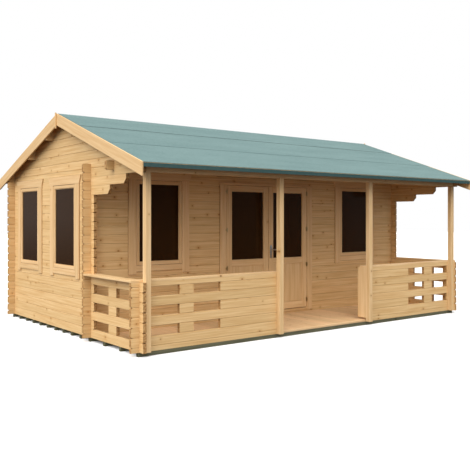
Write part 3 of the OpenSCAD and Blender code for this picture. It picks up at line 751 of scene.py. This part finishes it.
# Two countersunk screws in each hinge plate on a leaf
screw_in, screw_up, hinge_t = 0.007, 0.012, 0.003
for side, flip in (("left", -1), ("right", 1)):
    bm = bmesh.new()
    forward = Matrix.Rotation(math.pi / 2, 4, "X")
    for low, high in solids("hinges_" + side):
        x = (high.x if flip < 0 else low.x) + flip * screw_in
        for z in (low.z + screw_up, high.z - screw_up):
            disc(bm, (x, leaf_low.y - hinge_t, z), 0.003, 0.0006, forward, 12, 0.0002)
    new_piece("hinge_screws_" + side, bm, zinc, side + "_door", smooth=40)

bm = bmesh.new()
outer_set, inner_set = sorted(solids("door_handle"), key=lambda b: b[0].y)
handle_set(bm, *outer_set, -1)
handle_set(bm, *inner_set, 1)
bmesh.ops.remove_doubles(bm, verts=bm.verts, dist=1e-6)
new_piece("lever_handles", bm, satin, "right_door", ["door_handle"], 40)


# ---------------------------------------------------------------------------
# Roof boards
# Tongued pine boards nailed down the slope from ridge to eaves. Their planed
# faces show under the eaves and over the veranda.

pitch_low, pitch_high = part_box("roof_boards_front")
felt_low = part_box("felt_front")[0]
roof_x = pitch_high.x
run = -pitch_low.y
board_t = 0.020
eaves_top = max(v.co.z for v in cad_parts["roof_boards_front"].data.vertices if v.co.y < 0.001 - run)
slope = math.atan2(pitch_high.z - eaves_top, run)
length = run / math.cos(slope)
under_z = pitch_high.z - board_t / math.cos(slope)
roof_board = softwood("planed_pine_roof_board", "#DFBC8D", "#C29763", grain=None, knot="#7A4822",
                      tint=0.12, rough=0.6)


def slope_place(s):
    """Matrix that lays a sheet drawn level from the ridge, towards -Y, on the slope on side s."""
    turn = Matrix.Rotation(slope, 4, "X")
    flip = Matrix.Rotation(math.pi, 4, "Z") if s > 0 else Matrix.Identity(4)
    return flip @ Matrix.Translation((0, 0, under_z)) @ turn


for name, s in (("front", -1), ("back", 1)):
    bm = bmesh.new()
    board_row(bm, Vector((-roof_x, -length + 0.001, 0.0002)), Vector((roof_x, -0.009, board_t)),
              width=0.100, run=1, across=0, gap=0.0004, arris=planed_arris)
    bmesh.ops.transform(bm, matrix=slope_place(s), verts=bm.verts)
    new_piece("roof_boards_" + name + "_row", bm, roof_board, "cabin",
              ["roof_boards_" + name])


# ---------------------------------------------------------------------------
# Roofing felt
# Two strips on each slope and one over the ridge, laid along the roof, lapped from
# the eaves up and nailed at their ends. Green mineral grit over bitumen is dull.

def mineral_felt(name, pale, dark):
    """Gritty felt, mottled, with slow drifts of tone along the roof."""
    material, tree, output = blank(name)
    place = object_place(tree)
    grit = noise(tree, place, 260.0)
    mottle = noise(tree, place, 30.0, 3.0)
    drift = noise(tree, place, (1.2, 5.0, 5.0), 4.0)
    tone = maths(tree, "MULTIPLY_ADD", mottle, 0.35, maths(tree, "MULTIPLY", grit, 0.35))
    tone = ramp(tree, maths(tree, "MULTIPLY_ADD", drift, 0.3, tone), 0.3, 0.7)
    colour = mixed(tree, tone, linear(dark), linear(pale))
    bump = put(tree, "Bump", {"Height": grit, "Strength": 0.6, "Distance": 0.001})
    skin = put(tree, "BsdfPrincipled", {"Base Color": colour, "Normal": bump.outputs[0], "Roughness": 0.9,
                                        "Specular IOR Level": 0.2})
    tree.links.new(skin.outputs[0], output.inputs[0])
    return material


felt = mineral_felt("mineral_surfaced_bitumen_felt", "#738A88", "#59706F")
# The felt turned down at the eaves is a darker copy of the felt: painted shade for its upright face under
# the eaves.
shaded_bent_felt = mineral_felt("felt_bent_down_painted_shade", "#435C5B", "#2F4746")
felt_rng = random.Random(7)
sheet_t = 0.0024
lap, cap_run, mid_run = 0.075, 0.665, 1.484  # level distances, the last two from the ridge


def felt_strip(bm, near, far, lift_near, lift_far):
    """A thin sheet between two slope distances from the ridge, with a slightly uneven lower edge."""
    grain_layers(bm)
    made = bmesh.ops.create_grid(bm, x_segments=60, y_segments=8, size=0.5)["verts"]
    bmesh.ops.scale(bm, verts=made, vec=(2 * roof_x - 0.004, far - near, 1.0))
    bmesh.ops.translate(bm, verts=made, vec=(0, -(near + far) / 2, 0))
    waves = [(felt_rng.uniform(0.8, 4.0), felt_rng.uniform(0, 6.3), felt_rng.uniform(0.0004, 0.0009))
             for _ in range(5)]
    for v in made:
        share = (-v.co.y - near) / (far - near)
        v.co.z = lift_near + share * (lift_far - lift_near)
        v.co.y -= share * sum(a * math.sin(k * v.co.x + p) for k, p, a in waves)
    faces = list({f for v in made for f in v.link_faces})
    thick = bmesh.ops.solidify(bm, geom=faces, thickness=-sheet_t)
    added = {v for v in thick["geom"] if isinstance(v, bmesh.types.BMVert)}
    write_grain(bm, list({v for f in faces for v in f.verts} | added), 0)


for name, s in (("front", -1), ("back", 1)):
    bm = bmesh.new()
    felt_strip(bm, (mid_run - lap) / math.cos(slope), length - 0.0095, board_t, board_t)
    bmesh.ops.transform(bm, matrix=slope_place(s), verts=bm.verts)
    kept = set(bm.verts)
    felt_strip(bm, (cap_run - lap) / math.cos(slope), mid_run / math.cos(slope), board_t + 0.0004,
               board_t + sheet_t + 0.0004)
    placed(bm, kept, slope_place(s))
    new_piece("felt_strips_" + name, bm, felt, "cabin", ["felt_" + name])

# The ridge strip starts beyond the ridge, so that its two halves meet over it
bm = bmesh.new()
for s in (-1, 1):
    kept = set(bm.verts)
    felt_strip(bm, -(board_t + 2 * sheet_t) * math.tan(slope), cap_run / math.cos(slope),
               board_t + sheet_t + 0.0006, board_t + sheet_t + 0.001)
    placed(bm, kept, slope_place(s))
bmesh.ops.remove_doubles(bm, verts=bm.verts, dist=2e-4)
new_piece("felt_ridge_strip", bm, felt, "cabin", ["felt_ridge"])

# Bitumen squeezed out under each lap, and the edges turned down at the eaves in a darker felt that paints
# their shade
bitumen, tree, output = blank("bare_bitumen")
pitted = noise(tree, object_place(tree), 140.0, 3.0)
skin = put(tree, "BsdfPrincipled", {
    "Base Color": mixed(tree, pitted, linear("#26302E"), linear("#3E4D49")), "Roughness": 0.6,
    "Normal": put(tree, "Bump", {"Height": pitted, "Strength": 0.4, "Distance": 0.001}).outputs[0]})
tree.links.new(skin.outputs[0], output.inputs[0])
bm = bmesh.new()
felt_end, eaves_t = felt_low.y, 0.0035
for s in (-1, 1):
    kept = set(bm.verts)
    for at, lift in ((cap_run, board_t + sheet_t + 0.0005), (mid_run, board_t + 0.0005)):
        edge = at / math.cos(slope)
        board(bm, (-roof_x + 0.003, -edge - 0.009, lift), (roof_x - 0.003, -edge + 0.01, lift + 0.0016),
              0, 0.0006)
    placed(bm, kept, slope_place(s))
new_piece("felt_edges", bm, bitumen, "cabin")

bm = bmesh.new()
end_top = under_z + felt_end * math.tan(slope) + 0.0235
for s in (-1, 1):
    y0, y1 = sorted((s * -felt_end, s * (-felt_end - eaves_t)))
    board(bm, (-roof_x + 0.002, y0, felt_low.z + 0.001), (roof_x - 0.002, y1, end_top), 0, 0.001)
new_piece("felt_bent_down", bm, shaded_bent_felt, "cabin")

galvanised = plated_steel("galvanised_steel", "#B9BCBE", "#A9ABAC", 0.4)
bm = bmesh.new()
upright = Matrix.Identity(4)
nail_step, nail_in = 0.1, 0.022
for s in (-1, 1):
    kept = set(bm.verts)
    for k in range(1, 24):
        for x in (-roof_x + nail_in, roof_x - nail_in):
            edge = k * nail_step
            lift = board_t + sheet_t + (sheet_t if edge < mid_run / math.cos(slope) else 0) + 0.0008
            disc(bm, (x, -edge, lift), 0.005, 0.0012, upright, 10, 0.0004)
    for k in range(-30, 31):
        disc(bm, (k * nail_step, -length + 0.03, board_t + sheet_t), 0.005, 0.0012, upright, 10, 0.0004)
    placed(bm, kept, slope_place(s))
new_piece("felt_nails", bm, galvanised, "cabin", smooth=40)


# ---------------------------------------------------------------------------
# Bargeboards
# Planed boards nailed to the purlin ends, meeting on a plumb joint at the apex
# under a narrow strip. Their fibres follow the slope.

for side in ("left", "right"):
    node = side + "_bargeboards"
    bm = rounded_copy(node, planed_arris)
    vector = bm.verts.layers.float_vector["grain"]
    for v in bm.verts:
        v[vector] += Vector((0, abs(v.co.y) * math.tan(slope), 0))
    new_piece(node + "_planed", bm, joinery, "cabin", [node])


# ---------------------------------------------------------------------------
# Studio
# A plain pale floor, a sky that grows brighter overhead and that the camera sees
# as white, and two broad soft lamps: a key from the left, a steep fill from the front.

bm = bmesh.new()
bmesh.ops.create_grid(bm, x_segments=1, y_segments=1, size=60)
data = bpy.data.meshes.new("studio_floor")
bm.to_mesh(data)
bm.free()
ground = bpy.data.objects.new("studio_floor", data)
bpy.context.scene.collection.objects.link(ground)
material, tree, output = blank("matt_white_paper")
fleck = noise(tree, object_place(tree), 3.0)
skin = put(tree, "BsdfPrincipled", {"Base Color": mixed(tree, fleck, linear("#F6F6F6"), linear("#FAFAFA")),
                                    "Roughness": 1.0, "Specular IOR Level": 0.0})
tree.links.new(skin.outputs[0], output.inputs[0])
data.materials.append(material)
ground.visible_glossy = False
ground.visible_diffuse = False

world = bpy.data.worlds.new("white_sky")
world.use_nodes = True
tree = world.node_tree
tree.nodes.clear()
height = put(tree, "SeparateXYZ", {0: put(tree, "TexCoord").outputs["Generated"]}).outputs[2]
above = ramp(tree, height, -0.06, 0.0, 0.3, 0.8)
rays = put(tree, "LightPath").outputs
level = maths(tree, "MULTIPLY_ADD", height, 0.35, above)
level = maths(tree, "MULTIPLY", level, maths(tree, "MULTIPLY_ADD", rays["Is Glossy Ray"], 0.38 - 1.0, 1.0))
level = maths(tree, "MAXIMUM", level, rays["Is Camera Ray"])
sky = put(tree, "Background", {"Color": (1.0, 1.0, 1.0, 1.0), "Strength": level})
tree.links.new(sky.outputs[0], tree.nodes.new("ShaderNodeOutputWorld").inputs[0])
bpy.context.scene.world = world


def soft_sun(name, towards, energy, spread):
    """A broad lamp that shines one way. Glass and metal don't mirror it."""
    lamp = bpy.data.lights.new(name, "SUN")
    lamp.energy = energy
    lamp.angle = math.radians(spread)
    lamp_object = bpy.data.objects.new(name, lamp)
    lamp_object.rotation_euler = Vector(towards).to_track_quat("-Z", "Y").to_euler()
    lamp_object.visible_glossy = False
    bpy.context.scene.collection.objects.link(lamp_object)


soft_sun("soft_key_left", (0.83, 0.12, -0.55), 2.35, 60)
soft_sun("soft_fill_front", (0.15, 0.5, -0.85), 1.75, 50)

camera = bpy.data.cameras.new("eye")
camera.sensor_width = 36.0
camera.lens = 51.86
camera.shift_x, camera.shift_y = 0.0015, -0.0354
camera.clip_end = 200.0
eye = bpy.data.objects.new("eye", camera)
eye.location = (-6.811, -8.767, 1.575)
eye.rotation_euler = (math.pi / 2, 0.0, math.radians(-37.654))
bpy.context.scene.collection.objects.link(eye)
bpy.context.scene.camera = eye
bpy.context.scene.view_settings.view_transform = "Standard"
bpy.context.scene.view_settings.look = "None"
